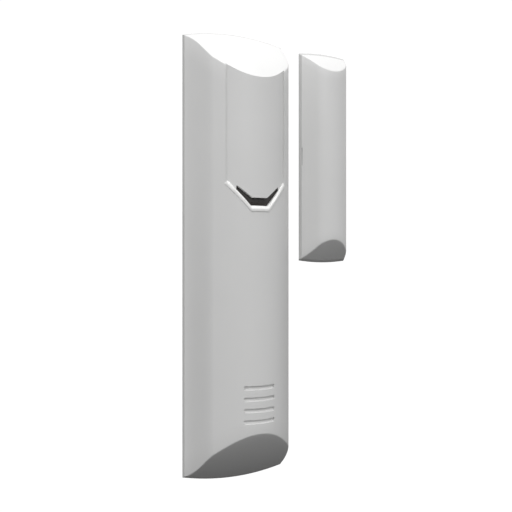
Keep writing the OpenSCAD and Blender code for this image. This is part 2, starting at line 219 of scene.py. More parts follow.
# %% [markdown]
# Materials next, because each piece takes one as it is made. Real moulded plastic is never one
# flat colour: the tool leaves a fine spark-eroded grain, and the colour drifts a little from
# place to place. Two noise textures on Object coordinates give both, one wide for the colour
# and one tight for the roughness and the bump. Values that are the same all over, such as
# the subsurface weight, are set straight on the shader.


# %% Node helpers
def new_material(name):
    material = bpy.data.materials.new(name)
    material.use_nodes = True
    nodes = material.node_tree.nodes
    shader = nodes["Principled BSDF"]
    place = nodes.new("ShaderNodeTexCoord")
    return material, material.node_tree, shader, place.outputs["Object"]


def noise(tree, place, scale, detail=2.0):
    texture = tree.nodes.new("ShaderNodeTexNoise")
    texture.inputs["Scale"].default_value = scale
    texture.inputs["Detail"].default_value = detail
    tree.links.new(place, texture.inputs["Vector"])
    return texture.outputs["Fac"]


def ramp(tree, value, stops):
    """Colour ramp from (position, colour) stops."""
    node = tree.nodes.new("ShaderNodeValToRGB")
    elements = node.color_ramp.elements
    while len(elements) < len(stops):
        elements.new(0.5)
    for element, (position, colour) in zip(elements, stops):
        element.position = position
        element.color = (*colour, 1)
    tree.links.new(value, node.inputs["Fac"])
    return node.outputs["Color"]


def spread(tree, value, low, high):
    """Maps the middle half of a noise onto low to high."""
    node = tree.nodes.new("ShaderNodeMapRange")
    node.inputs["From Min"].default_value = 0.3
    node.inputs["From Max"].default_value = 0.7
    node.inputs["To Min"].default_value = low
    node.inputs["To Max"].default_value = high
    tree.links.new(value, node.inputs["Value"])
    return node.outputs["Result"]


def bump(tree, shader, height, distance, strength=1.0):
    node = tree.nodes.new("ShaderNodeBump")
    node.inputs["Distance"].default_value = distance
    node.inputs["Strength"].default_value = strength
    tree.links.new(height, node.inputs["Height"])
    tree.links.new(node.outputs["Normal"], shader.inputs["Normal"])


def shade(colour, amount):
    return tuple(min(1.0, channel * amount) for channel in colour)


def grained(name, colour, roughness=0.45, drift=0.03, grain=9000, depth=0.01, **fixed):
    """Moulded or rolled surface: drifting colour, fine grain in roughness and height."""
    material, tree, shader, place = new_material(name)
    wide = noise(tree, place, 60, 3)
    tight = noise(tree, place, grain, 2)
    tree.links.new(ramp(tree, wide, [(0.3, shade(colour, 1 - drift)), (0.7, shade(colour, 1 + drift))]),
                   shader.inputs["Base Color"])
    tree.links.new(spread(tree, tight, roughness - 0.05, roughness + 0.05),
                   shader.inputs["Roughness"])
    bump(tree, shader, tight, depth * MM)
    for socket, value in fixed.items():
        shader.inputs[socket.replace("_", " ")].default_value = value
    return material


print("helpers ready")

# %% [markdown]
# The cases are white ABS with a fine matt grain. The base is moulded from the same plastic, but
# its colour is set darker as painted shade, so that its edge shows as a grey outline against the
# white ends. The chevron bar is a clearer, brighter white, because it has to carry light, so it
# gets some subsurface scattering. The window above it is smoked.

# %% Plastic finishes
cover_white = grained("cover_white", (0.80, 0.80, 0.795), 0.42, 0.012, 6000, 0.006)
# Painted shade: the base is the cover's white plastic, set darker so that its edge reads as a grey
# outline
base_white_painted_shade = grained("base_white_painted_shade", (0.60, 0.60, 0.595), 0.5, 0.02, 6000, 0.008)
guide_white = grained("guide_white", (0.93, 0.93, 0.915), 0.3, 0.01, 5000, 0.002,
                      Subsurface_Weight=0.25, Subsurface_Scale=0.0006,
                      Subsurface_Radius=(1.0, 1.0, 1.0))
smoked = grained("smoked_window", (0.035, 0.030, 0.028), 0.3, 0.2, 3000, 0.002)
black_resin = grained("black_resin", (0.02, 0.02, 0.022), 0.55, 0.2, 12000, 0.008)
nylon = grained("switch_nylon", (0.72, 0.68, 0.58), 0.5, 0.03, 8000, 0.004)
red_plastic = grained("button_red", (0.55, 0.08, 0.05), 0.4, 0.05, 8000, 0.004)
vinyl = grained("black_vinyl", (0.02, 0.02, 0.022), 0.35, 0.15, 4000, 0.004)
foam = grained("black_foam", (0.035, 0.035, 0.036), 0.95, 0.3, 2600, 0.12)
ceramic = grained("tan_ceramic", (0.42, 0.31, 0.19), 0.4, 0.12, 9000, 0.004)

# %% [markdown]
# Metals differ by how they were made. Rolled strip has streaks along its length, so its noise
# is stretched with a Mapping node. Tin plate is softer and blotchy, and the cell's sleeve is
# a shrunk film, plain blue, with a faint wrinkle in its height.


# %% Metal and film finishes
def streaked(name, colour, roughness, stretch=(1, 1, 0.03), scale=4000, drift=0.06):
    material, tree, shader, place = new_material(name)
    mapping = tree.nodes.new("ShaderNodeMapping")
    mapping.inputs["Scale"].default_value = stretch
    tree.links.new(place, mapping.inputs["Vector"])
    lines = noise(tree, mapping.outputs["Vector"], scale, 3)
    tree.links.new(ramp(tree, lines, [(0.3, shade(colour, 1 - drift)), (0.7, shade(colour, 1 + drift))]),
                   shader.inputs["Base Color"])
    tree.links.new(spread(tree, lines, roughness - drift, roughness + drift),
                   shader.inputs["Roughness"])
    bump(tree, shader, lines, 0.003 * MM)
    shader.inputs["Metallic"].default_value = 1.0
    return material


tin = streaked("tin_plate", (0.72, 0.72, 0.73), 0.34, (1, 1, 1), 1200, 0.03)
cell_nickel = streaked("cell_nickel", (0.74, 0.73, 0.71), 0.24, (0.05, 0.05, 1), 3000)
spring_metal = streaked("spring_metal", (0.74, 0.71, 0.64), 0.28)
screw_zinc = streaked("screw_zinc", (0.66, 0.67, 0.70), 0.34, (1, 1, 1), 2500)
magnet_nickel = streaked("magnet_nickel", (0.62, 0.62, 0.63), 0.3, (1, 1, 0.2), 1500, 0.03)
copper = streaked("enamelled_copper", (0.76, 0.42, 0.22), 0.3, (1, 1, 1), 3000)
gold = streaked("gold_pads", (0.85, 0.62, 0.28), 0.35, (1, 1, 1), 3000)
sleeve_blue = grained("cell_sleeve", (0.06, 0.11, 0.30), 0.28, 0.08, 700, 0.02)

# %% [markdown]
# Glass is a transmission shader with its colour in the base colour, and the clear resin over a
# lamp is nearly the same. The board's green mask is lacquer over copper tracks: the tracks
# show as slightly lighter, slightly raised lines, which a brick texture with long narrow
# bricks imitates, broken up by a coarse Voronoi so that they don't cover it evenly.


# %% Glass, resin and board lacquer
def clear(name, colour, roughness, weight):
    material, tree, shader, place = new_material(name)
    cloud = noise(tree, place, 900, 2)
    tree.links.new(ramp(tree, cloud, [(0.3, shade(colour, 0.97)), (0.7, shade(colour, 1.02))]),
                   shader.inputs["Base Color"])
    tree.links.new(spread(tree, cloud, roughness, roughness + 0.04), shader.inputs["Roughness"])
    shader.inputs["Transmission Weight"].default_value = weight
    shader.inputs["IOR"].default_value = 1.5
    return material


def board_lacquer():
    material, tree, shader, place = new_material("board_lacquer")
    turn = tree.nodes.new("ShaderNodeMapping")
    turn.inputs["Rotation"].default_value = (math.radians(90), 0, 0)
    tree.links.new(place, turn.inputs["Vector"])
    tracks = tree.nodes.new("ShaderNodeTexBrick")
    tracks.inputs["Scale"].default_value = 420
    tracks.inputs["Mortar Size"].default_value = 0.09
    tracks.inputs["Mortar Smooth"].default_value = 0.3
    tracks.inputs["Brick Width"].default_value = 2.6
    tracks.inputs["Row Height"].default_value = 0.42
    tree.links.new(turn.outputs["Vector"], tracks.inputs["Vector"])
    patches = tree.nodes.new("ShaderNodeTexVoronoi")
    patches.inputs["Scale"].default_value = 260
    tree.links.new(place, patches.inputs["Vector"])
    where = ramp(tree, patches.outputs["Distance"], [(0.25, (1, 1, 1)), (0.4, (0, 0, 0))])
    both = tree.nodes.new("ShaderNodeMath")
    both.operation = "MULTIPLY"
    tree.links.new(tracks.outputs["Fac"], both.inputs[0])
    tree.links.new(where, both.inputs[1])
    mask, track = (0.015, 0.10, 0.035), (0.05, 0.22, 0.08)
    tree.links.new(ramp(tree, both.outputs["Value"], [(0.0, mask), (1.0, track)]),
                   shader.inputs["Base Color"])
    tree.links.new(spread(tree, noise(tree, place, 2500), 0.24, 0.34), shader.inputs["Roughness"])
    bump(tree, shader, both.outputs["Value"], 0.03 * MM)
    shader.inputs["Coat Weight"].default_value = 0.3
    return material


reed_green = clear("reed_glass", (0.75, 0.88, 0.84), 0.02, 0.95)
lamp_resin = clear("lamp_resin", (0.95, 0.92, 0.72), 0.12, 0.4)
lacquer = board_lacquer()
print(len(bpy.data.materials), "materials")

# %% [markdown]
# Both covers have a section like a loaf: a spreading foot on the left, a crease, a round dome
# and a steep flank on the right. It is drawn as a Bezier curve with five points, as on paper,
# and then turned into a row of mesh points. The handles either side of a crease lie on one
# line, so the dome runs into the flank with no corner.


# %% Draw a section
def hump_section(case):
    unit = Vector((case["left"], case["crest"]))
    crest = Vector((case["top"], 1)) * unit
    knots = [(Vector((-case["left"], edge_height)), None, case["heel"][0])]
    for side in (0, 1):
        crease = Vector(case["crease"][side]) * unit
        pull = Vector(case["crease_pull"][side]) * unit
        flank = crease + case["flank_pull"][side] * (crease - pull)
        knots.append((crease, flank, pull) if side == 0 else (crease, pull, flank))
    before = crest - Vector((case["dome_pull"][0] * unit.x, 0))
    after = crest + Vector((case["dome_pull"][1] * unit.x, 0))
    knots.insert(2, (crest, before, after))
    knots.append((Vector((case["right"], edge_height)), case["heel"][1], None))
    only(camera)
    bpy.ops.curve.primitive_bezier_curve_add(location=(0, 0, 0))
    curve = bpy.context.object
    spline = curve.data.splines[0]
    spline.bezier_points.add(len(knots) - 2)
    for point, (place, before, after) in zip(spline.bezier_points, knots):
        point.handle_left_type = point.handle_right_type = "FREE"
        point.co = (*place, 0)
        point.handle_left = (*(before or place), 0)
        point.handle_right = (*(after or place), 0)
    curve.data.resolution_u = 44
    bpy.ops.object.convert(target="MESH")
    drawn = bpy.context.object
    outline = [point.co.xy.copy() for point in drawn.data.vertices]
    bpy.data.objects.remove(drawn)
    return outline if outline[0].x < outline[-1].x else outline[::-1]


sensor_outline = hump_section(sensor_case)
magnet_outline = hump_section(magnet_case)
print(len(sensor_outline), "points in a section")

# %% [markdown]
# The same section, moved inwards square to itself, gives the inside of the wall, and a smaller
# move gives the floor of a sunk panel. Below the seam the section is cut off level.


# %% Move a section inwards
def moved_in(outline, distance, seam):
    count = len(outline)
    moved = []
    for i, point in enumerate(outline):
        along = outline[min(i + 1, count - 1)] - outline[max(i - 1, 0)]
        inwards = Vector((along.y, -along.x)).normalized()
        moved.append(point + inwards * distance)
    return down_to_seam(moved, seam)


def down_to_seam(outline, seam):
    """Ends both sides of an outline exactly on the seam."""
    kept = [point for point in outline if point.y > seam + 1e-6]
    first, last = kept[0], kept[-1]
    above = outline.index(first)
    below = outline.index(last)
    left = Vector((first.x, seam))
    right = Vector((last.x, seam))
    if above > 0:
        left.x += (outline[above - 1].x - first.x) * (first.y - seam) / (first.y - outline[above - 1].y)
    if below < len(outline) - 1:
        right.x += (outline[below + 1].x - last.x) * (last.y - seam) / (last.y - outline[below + 1].y)
    return [left, *kept, right]


def height_on(outline, x):
    """How far out of the wall the outline is at x."""
    for before, after in zip(outline, outline[1:]):
        if before.x <= x <= after.x and after.x > before.x:
            return before.y + (after.y - before.y) * (x - before.x) / (after.x - before.x)
    return outline[0].y


print("inside half width", moved_in(sensor_outline, 1.5 * MM, sensor_case["seam"])[-1].x)

# %% [markdown]
# Now the section becomes a skin. It is extruded upwards in rows. The ends of the case are cut
# by a big ball whose middle lies behind the wall, so each end is closed by extruding the last
# row inwards, ring by ring, towards a point on the seam, and every point is then slid up or
# down until it lies on the ball. Until then the skin is one unit up and one unit down, which
# makes the rows easy to pick.


# %% Turn a section into a skin with ball-shaped ends
def skin(name, outline, case, shrink, rows=20, rings=12):
    piece = drawn(name, [(point.x, -point.y, -1) for point in outline],
                  [(i, i + 1) for i in range(len(outline) - 1)])
    edit(piece)
    for _ in range(rows):
        bpy.ops.mesh.extrude_region_move(TRANSFORM_OT_translate={"value": (0, 0, 2 / rows)})
    for end in (1, -1):
        pick(piece, lambda co: abs(co.z - end) < 1e-5)
        for ring in range(rings):
            bpy.ops.mesh.extrude_region_move(TRANSFORM_OT_translate={"value": (0, 0, 0)})
            left = 1 - (ring + 1) / rings
            factor = left / (left + 1 / rings)
            bpy.ops.transform.resize(value=(factor, factor, 1),
                                     center_override=(0, -case["seam"], end))
    seal(1e-6)
    for point in piece.data.vertices:
        point.co.z *= end_height(case, point.co, shrink)
    return piece


def end_height(case, place, shrink=0.0):
    """How far up a point of the ball-shaped end is."""
    radius = math.hypot(case["reach"] + case["beyond"], case["left"], case["ball"]) - shrink
    across = place.x ** 2 + (place.y - case["ball"]) ** 2
    return math.sqrt(radius ** 2 - across) - case["beyond"]


def on_rim(outline, case):
    """Test for the points where the hump meets its ends."""
    section = {(round(point.x, 6), round(point.y, 6)) for point in outline}
    return lambda co: ((round(co.x, 6), round(-co.y, 6)) in section
                       and abs(abs(co.z) - end_height(case, co)) < 2e-6)


# %% [markdown]
# A cover is a solid hump with a smaller one taken out of it. The skin is closed flat at the
# seam to make it solid, and its outer rim is rounded with a small bevel before anything is
# cut into it, while its faces are still even. The hollow reaches a little below the seam, so
# that the cut goes clean through. The same blocks, moved in, are used later as cutters.


# %% Solid blocks and hollow shells
def close_flat(piece, drop=0.0):
    edit(piece)
    bpy.ops.mesh.select_all(action="DESELECT")
    bpy.ops.mesh.select_mode(type="EDGE")
    bpy.ops.mesh.select_non_manifold(extend=False)
    if drop:
        bpy.ops.mesh.extrude_region_move(TRANSFORM_OT_translate={"value": (0, drop, 0)})
    bpy.ops.mesh.edge_face_add()
    seal()
    return piece


def thicken(piece, depth):
    """Extrudes an open face or strip straight back or forwards, which closes it all round."""
    edit(piece)
    bpy.ops.mesh.extrude_region_move(TRANSFORM_OT_translate={"value": (0, depth, 0)})
    seal()


def block(name, outline, case, inset):
    """Solid under the surface that runs on past the ends of the case."""
    line = moved_in(outline, inset, case["seam"])
    return close_flat(skin(name, line, case, -3 * MM, rows=2, rings=2))


def shell(name, outline, case):
    outer_line = down_to_seam([Vector((outline[0].x, -1)), *outline, Vector((outline[-1].x, -1))],
                              case["seam"])
    outer = skin(name, outer_line, case, 0)
    edit(outer)
    pick(outer, on_rim(outer_line, case))
    bpy.ops.mesh.bevel(offset=0.22 * MM, segments=3, affect="EDGES", clamp_overlap=False)
    leave()
    close_flat(outer)
    inner_line = moved_in(outline, case["wall"], case["seam"])
    inner = skin(name + "_inside", inner_line, case, case["wall"] + 0.1 * MM)
    cut(outer, close_flat(inner, 2 * MM))
    return outer


def prism(name, outline, near, far):
    """Upright bar through the front, from an outline drawn looking at the wall."""
    piece = drawn(name, [(x, -near, z) for x, z in outline], faces=[tuple(range(len(outline)))])
    thicken(piece, near - far)
    return piece


def box(low, high, width=0.05, segments=2):
    """Bar between two opposite corners, with its edges rounded."""
    low, high = Vector(low), Vector(high)
    only(camera)
    bpy.ops.mesh.primitive_cube_add(size=1, location=(low + high) / 2, scale=high - low)
    piece = bpy.context.object
    settle(piece)
    round_edges(piece, width * MM, segments)
    return piece


sensor_cover = shell("sensor_cover_shell", sensor_outline, sensor_case)
print("sensor cover", [round(v / MM, 2) for v in sensor_cover.dimensions])

# %% [markdown]
# Looking at the wall, the chevron is a shallow V with a flat foot. One list holds the outer
# corners of its right-hand half, one the corners of the window that it frames, and mirroring
# them gives the left. The upper front is a panel sunk by about a third of a
# millimetre, whose lower end is the chevron's own inner edge.


# %% Chevron, window and sunk panel outlines
lip_tip, lip_foot = (8.6 * MM, 18.7 * MM), (2.45 * MM, 11.4 * MM)
lip_inner_tip = (7.75 * MM, 19.35 * MM)
window_low_tip, window_low_foot = (5.9 * MM, 17.2 * MM), (2.3 * MM, 13.0 * MM)
window_top_tip, window_top_foot = (5.8 * MM, 18.2 * MM), (2.0 * MM, 15.0 * MM)
panel_half = 8.2 * MM
panel_sink = 0.32 * MM


def both_sides(points):
    return [(-x, z) for x, z in points] + list(reversed(points))


opening_outline = both_sides([lip_inner_tip, lip_tip, lip_foot]) + list(
    reversed(both_sides([window_low_tip, window_top_tip, window_top_foot])))
above_case = 2 * sensor_case["reach"]
panel_outline = both_sides([(panel_half, above_case), (panel_half, lip_inner_tip[1]),
                            window_low_tip, window_low_foot])
print(len(opening_outline), "corners in the opening")

# %% Sink the panel and cut the chevron opening
front = sensor_case["crest"] + 2 * MM
panel_cutter = prism("panel_cutter", panel_outline, 14 * MM, front)
cut(panel_cutter, block("panel_floor", sensor_outline, sensor_case, panel_sink))
cut(sensor_cover, panel_cutter)
step_softness = 0.28 * MM


# Only the right-hand step turns its wall to the viewer, so only its edge is softened
def on_step(co):
    return (abs(co.x - panel_half) < 2e-6 and co.z > lip_inner_tip[1]
            and -co.y > height_on(sensor_outline, co.x) - 0.02 * MM)


edit(sensor_cover)
pick(sensor_cover, on_step)
bpy.ops.mesh.bevel(offset=step_softness, segments=2, affect="EDGES", clamp_overlap=False)
leave()
cut(sensor_cover, prism("opening_cutter", opening_outline, 11 * MM, front))
print("cover after cutting", len(sensor_cover.data.polygons), "faces")

# %% [markdown]
# Near the lower end a thumb needs something to push against when the cover comes off, so a few
# short grooves are cut there. Each cutter is a bar with rounded edges, and the floor of the
# groove follows the dome because the bars are first cut with a block of the same section.

# %% Grip grooves
groove_count, groove_length, groove_width = 4, 8.4 * MM, 1.1 * MM
groove_top, groove_pitch, groove_sink = -33.3 * MM, 2.9 * MM, 0.5 * MM
groove_floor = block("groove_floor", sensor_outline, sensor_case, groove_sink)
for number in range(groove_count):
    top = groove_top - number * groove_pitch
    bar = box((-groove_length / 2, -front - 4 * MM, top - groove_width),
              (groove_length / 2, -front + 4 * MM, top), 0.25, 3)
    cut(bar, groove_floor, keep=True)
    cut(sensor_cover, bar)
bpy.data.objects.remove(groove_floor)

# %% [markdown]
# Inside the cover one round post reaches down to the tamper switch. It starts as a cylinder,
# gets a rounded tip, and sinks into the dome's wall so that the two are one moulding.

# %% Tamper post
plunger_low, plunger_high = box_of("tamper_plunger")
post_radius = 1.8 * MM
post_x = (plunger_low.x + plunger_high.x) / 2
post_z = (plunger_low.z + plunger_high.z) / 2
post_foot = -plunger_low.y + 0.05 * MM
post_root = height_on(sensor_outline, post_x - post_radius) - 1 * MM
only(camera)
bpy.ops.mesh.primitive_cylinder_add(vertices=48, radius=post_radius, depth=post_root - post_foot,
                                    location=(post_x, -(post_root + post_foot) / 2, post_z),
                                    rotation=(math.radians(90), 0, 0))
post = bpy.context.object
settle(post)
round_edges(post, 0.3 * MM, 3)
sensor_cover = join("sensor_cover_shell", sensor_cover, post)
painted(sensor_cover, cover_white, "cover", "cover_plastic", "sensor_cover")

# %% [markdown]
# The chevron bar is a strip of narrow faces. It is drawn along five lines, each of which runs
# from the left tip over the foot to the right tip, with every point set on the dome or a
# little under it. The strip is then extruded straight back to give it thickness. Along its
# inner edge the face slopes back into the window, and that slope catches the light from above.


# %% Chevron light guide
def between(start, stop, part):
    return tuple(a + (b - a) * part for a, b in zip(start, stop))


def chevron_strip(name, lines, steps):
    """Strip of quads between neighbouring lines, each a tip, a foot and how deep both lie."""
    points, faces = [], []
    for tip, foot, tip_sink, foot_sink in lines:
        row = [(-tip[0], tip[1], tip_sink), (-foot[0], foot[1], foot_sink),
               (*foot, foot_sink), (*tip, tip_sink)]
        path = [between(start, stop, step / steps)
                for start, stop in zip(row, row[1:]) for step in range(steps)] + [row[-1]]
        points += [(x, -(height_on(sensor_outline, x) - sink), z) for x, z, sink in path]
    across = 3 * steps + 1
    for line in range(len(lines) - 1):
        for i in range(across - 1):
            a = line * across + i
            faces.append((a, a + 1, a + 1 + across, a + across))
    return drawn(name, points, faces=faces)


lip_lines = [(between(lip_tip, lip_inner_tip, part), between(lip_foot, window_low_foot, part),
              tip_sink * MM, foot_sink * MM)
             for part, tip_sink, foot_sink in ((0, -0.12, -0.12), (0.5, -0.12, -0.12),
                                               (0.6, -0.08, 0.08), (0.94, 0.1, 0.5), (1, 0.2, 1.1))]
light_guide = chevron_strip("chevron_bar", lip_lines, 14)
thicken(light_guide, 2.6 * MM)
round_edges(light_guide, 0.08 * MM, 2, 40)

# The stem carries the light up from the lamps on the board
stem_foot, stem_top = box_of("light_guide")[1].y, 2 * MM - sensor_case["crest"]
stem_half, stem_low, stem_thick = 3.4 * MM, lip_foot[1] + 0.2 * MM, 1.3 * MM
stem = box((-stem_half, stem_top, stem_low), (stem_half, stem_foot, stem_low + stem_thick), 0.2, 3)
light_guide = join("chevron_bar", light_guide, stem)
painted(light_guide, guide_white, "cover", "light_guide_plastic", "light_guide")

# %% Smoked window
window_sink = 1.35 * MM
window = chevron_strip("smoked_window", [
    (window_low_tip, window_low_foot, window_sink, window_sink),
    (window_top_tip, window_top_foot, window_sink, window_sink),
], 14)
thicken(window, 1.2 * MM)
round_edges(window, 0.06 * MM, 2, 40)
painted(window, smoked, "cover", "smoked_plastic", "indicator_window")

# %% [markdown]
# The magnet's cover is the same kind of shell at its own sizes, made round the middle of the
# room and then moved to its place. A small notch in its long side takes a screwdriver.

# %% Magnet cover
magnet_cover = shell("magnet_cover_shell", magnet_outline, magnet_case)
notch_length, notch_height, notch_sink = 5.4 * MM, 2.1 * MM, 0.9 * MM
side = -magnet_case["left"]
cut(magnet_cover, box((side - notch_sink, -notch_height, -notch_length / 2),
                      (side + notch_sink, 0, notch_length / 2), 0.2, 3))
magnet_cover.location = magnet_place
settle(magnet_cover)
painted(magnet_cover, cover_white, "magnet_lid", "cover_plastic", "magnet_cover")

# %% [markdown]
# Many inner pieces already have their right shape in the frame, but with knife-sharp edges.
# Each is copied, its loose triangles are merged into whole faces, and its edges are rounded
# by a Bevel modifier, as every moulded, stamped or machined piece's are.


# %% Rounded copies of plain pieces
def copy_of(node, name):
    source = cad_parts[node]
    piece = source.copy()
    piece.data = source.data.copy()
    piece.parent = None
    piece.matrix_world = source.matrix_world
    piece.name = name
    bpy.context.scene.collection.objects.link(piece)
    only(piece)
    if piece.data.has_custom_normals:
        bpy.ops.mesh.customdata_custom_splitnormals_clear()
    edit(piece)
    bpy.ops.mesh.remove_doubles(threshold=0.002 * MM)
    bpy.ops.mesh.dissolve_limited(angle_limit=math.radians(1))
    leave()
    return piece


def rounded(node, body, slot, material, width, segments=2, angle=35):
    piece = copy_of(node, node + "_rounded")
    round_edges(piece, width * MM, segments, angle)
    painted(piece, material, body, slot, node)
    apply_modifier(piece, "WEIGHTED_NORMAL", keep_sharp=True)


for node, body, slot, material, width, segments in (
        # Both bases take the darker white, painted shade that draws a grey outline where they show
        # beside the covers
        ("sensor_base", "sensor", "base_plastic", base_white_painted_shade, 0.12, 2),
        ("magnet_base", "magnet_unit", "base_plastic", base_white_painted_shade, 0.12, 2),
        ("magnet_bar", "magnet_unit", "magnet_metal", magnet_nickel, 0.25, 3),
        ("magnet_cushion", "magnet_unit", "foam", foam, 0.15, 2),
        ("tamper_plunger", "tamper", "switch_stem", nylon, 0.35, 4),
        ("button_cap", "learn_button", "button_plastic", red_plastic, 0.3, 4),
        ("board_screws", "sensor", "screw_steel", screw_zinc, 0.1, 2),
        ("radio_can", "sensor", "tinned_metal", tin, 0.2, 3),
        ("crystal", "sensor", "tinned_metal", tin, 0.15, 3),
        ("positive_contact", "sensor", "contact_metal", spring_metal, 0.08, 2),
        ("circuit_board", "sensor", "board_laminate", lacquer, 0.06, 2),
        ("status_leds", "sensor", "led_resin", lamp_resin, 0.12, 3)):
    rounded(node, body, slot, material, width, segments)

# %% [markdown]
# Round parts need two more shapes. `lathe` draws half a section beside an axis and spins it
# once round, which suits the cell. `wire` runs a round tube along a list of points, for leads
# and springs.


# %% Lathe and wire
def lathe(name, profile, x, y, steps=72):
    """Spins (radius, height) points about an upright axis through x, y."""
    piece = drawn(name, [(x + radius, y, height) for radius, height in profile],
                  [(i, i + 1) for i in range(len(profile) - 1)])
    edit(piece)
    bpy.ops.mesh.spin(steps=steps, angle=math.tau, center=(x, y, 0), axis=(0, 0, 1))
    seal(1e-7)
    return piece


def wire(name, points, radius, round_steps=4):
    only(camera)
    bpy.ops.curve.primitive_nurbs_path_add(location=(0, 0, 0))
    curve = bpy.context.object
    curve.data.splines.clear()
    spline = curve.data.splines.new("POLY")
    spline.points.add(len(points) - 1)
    for point, place in zip(spline.points, points):
        point.co = (*place, 1)
    curve.data.bevel_depth = radius
    curve.data.bevel_resolution = round_steps
    curve.data.use_fill_caps = True
    bpy.ops.object.convert(target="MESH")
    piece = bpy.context.object
    piece.name = name
    edit(piece)
    seal(1e-7)
    return piece


def arc(middle, side, rise, start, stop, steps):
    """Points on an arc, in the plane of two vectors, from start to stop in turns."""
    points = []
    for step in range(steps + 1):
        turn = math.tau * (start + (stop - start) * step / steps)
        points.append(Vector(middle) + Vector(side) * math.cos(turn) + Vector(rise) * math.sin(turn))
    return points


# %% [markdown]
# The cell is a steel can in a shrunk film. The film grips the can, turns in over both of its
# ends and dips into the groove rolled below the top, so its section is drawn in one line. The
# can's section shows only at the two ends.

# %% Cell
sleeve_low, sleeve_high = box_of("battery_sleeve")
can_low, can_high = box_of("battery_can")
cell_x, cell_y = (can_low.x + can_high.x) / 2, (can_low.y + can_high.y) / 2
film, steel = (sleeve_high.x - sleeve_low.x) / 2, (can_high.x - can_low.x) / 2
groove_middle, groove_deep = sleeve_high.z - 3 * MM, 0.55 * MM
film_line = [(film - 1.3 * MM, sleeve_low.z), (film - 0.5 * MM, sleeve_low.z + 0.02 * MM),
             (film - 0.12 * MM, sleeve_low.z + 0.18 * MM), (film, sleeve_low.z + 0.6 * MM)]
for step in range(9):
    part = step / 8
    film_line.append((film - groove_deep * math.sin(math.pi * part) ** 2,
                      groove_middle + (part - 0.5) * 1.6 * MM))
film_line += [(film, sleeve_high.z - 0.6 * MM), (film - 0.12 * MM, sleeve_high.z - 0.18 * MM),
              (film - 0.5 * MM, sleeve_high.z - 0.02 * MM), (film - 1.3 * MM, sleeve_high.z)]
painted(lathe("cell_film", film_line, cell_x, cell_y), sleeve_blue, "sensor", "cell_sleeve",
        "battery_sleeve")
in_film = steel - groove_deep
can_line = [(0, can_low.z), (in_film - 1.6 * MM, can_low.z), (in_film - 0.6 * MM, can_low.z + 0.3 * MM),
            (in_film - 0.2 * MM, can_low.z + 0.9 * MM), (in_film - 0.2 * MM, can_high.z - 0.9 * MM),
            (in_film - 0.6 * MM, can_high.z - 0.2 * MM), (in_film - 1.4 * MM, can_high.z),
            (in_film - 2.4 * MM, can_high.z - 0.15 * MM), (0, can_high.z - 0.15 * MM)]
painted(lathe("cell_can", can_line, cell_x, cell_y), cell_nickel, "sensor", "cell_steel",
        "battery_can")
rounded("battery_cap", "sensor", "cell_steel", cell_nickel, 0.3, 3)

# %% [markdown]
# The cell's other contact is a cone of spring wire standing on a plate. The tamper switch
# holds a much smaller spring. Both are wound as tubes round a list of points whose radius and
# height change a little with every step.


# %% Springs
def coil(name, middle, turns, radii, run, thickness, steps=40):
    """Winds from the middle along the run vector; the coil lies square to it."""
    run = Vector(run)
    side = Vector((1, 0, 0))
    rise = run.normalized().cross(side)
    points = []
    for step in range(int(turns * steps) + 1):
        part = step / (turns * steps)
        radius = radii[0] + (radii[1] - radii[0]) * part
        turn = math.tau * turns * part
        points.append(Vector(middle) + run * part
                      + side * radius * math.cos(turn) + rise * radius * math.sin(turn))
    return wire(name, points, thickness / 2)


contact_low, contact_high = box_of("negative_contact")
plate_high = Vector((contact_high.x, contact_high.y, contact_low.z + 0.4 * MM))
cell_spring = coil("cell_spring", (cell_x, cell_y, plate_high.z + 0.2 * MM), 3.2,
                   (4.6 * MM, 2.2 * MM), (0, 0, can_low.z - plate_high.z - 0.6 * MM), 0.7 * MM)
cell_spring = join("cell_spring", cell_spring, box(contact_low, plate_high, 0.1))
painted(cell_spring, spring_metal, "sensor", "contact_metal", "negative_contact")

spring_low, spring_high = box_of("tamper_spring")
tamper_middle = (spring_low + spring_high) / 2
painted(coil("tamper_coil", (tamper_middle.x, spring_high.y - 0.11 * MM, tamper_middle.z), 3.5,
             (1 * MM, 1 * MM), (0, spring_low.y - spring_high.y + 0.22 * MM, 0), 0.22 * MM),
        spring_metal, "sensor", "contact_metal", "tamper_spring")

# %% [markdown]
# The aerial is an arch of enamelled wire with one foot in the board. The black lead leaves
# the spring's plate, turns up along the base and bends forwards through the board, where its
# bare core shows. Both are tubes, so the bends stay perfectly round.

# %% Aerial and lead
board_low, board_high = box_of("circuit_board")
board_face = board_low.y
aerial_low, aerial_high = box_of("antenna_wire")
aerial_thick = 0.8 * MM
aerial_turn = (aerial_high.x - aerial_low.x - aerial_thick) / 2
aerial_mid = Vector(((aerial_low.x + aerial_high.x) / 2, aerial_low.y + aerial_thick / 2,
                     aerial_high.z - aerial_thick / 2 - aerial_turn))
arch = arc(aerial_mid, (aerial_turn, 0, 0), (0, 0, aerial_turn), 0.5, 0, 40)
aerial_bend = 0.9 * MM
turn_in = arc((arch[-1].x, arch[-1].y + aerial_bend, arch[-1].z), (0, -aerial_bend, 0),
              (0, 0, -aerial_bend), 0, 0.25, 8)
aerial_foot = Vector((turn_in[-1].x, board_face, turn_in[-1].z))
aerial = wire("aerial_tube", arch + turn_in[1:] + [aerial_foot], aerial_thick / 2, 6)
painted(aerial, copper, "sensor", "copper_wire", "antenna_wire")

